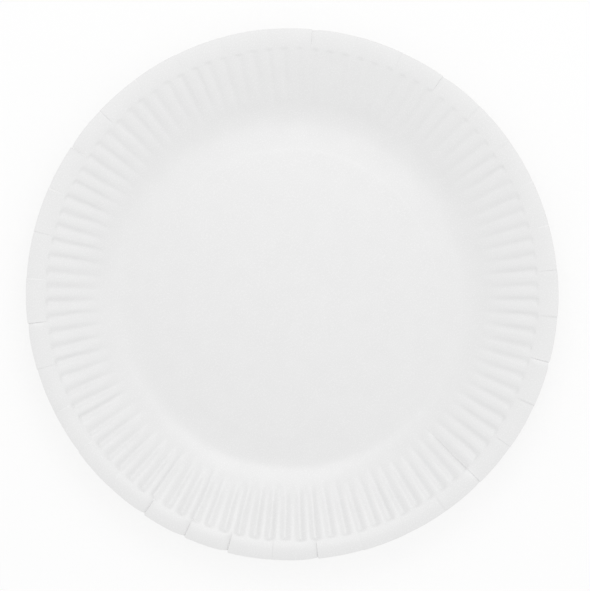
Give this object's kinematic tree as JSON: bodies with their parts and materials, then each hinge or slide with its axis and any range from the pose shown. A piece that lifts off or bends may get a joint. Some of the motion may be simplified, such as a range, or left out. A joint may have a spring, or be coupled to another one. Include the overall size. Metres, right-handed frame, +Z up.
{
  "type": "paper plate",
  "caption": "Round disposable plate pressed from white paper board, with a fluted wall and a flared rim.",
  "frame": {"origin": "on the table, under the plate's centre", "axes": "+Z up through the middle of the plate, X and Y in the table's plane"},
  "size_m": [0.23, 0.23, 0.018],
  "materials": {
    "board": "white coated board, slightly glossy on the eating side and matt underneath"
  },
  "bodies": {
    "root": {"plate": "board"}
  },
  "joints": []
}
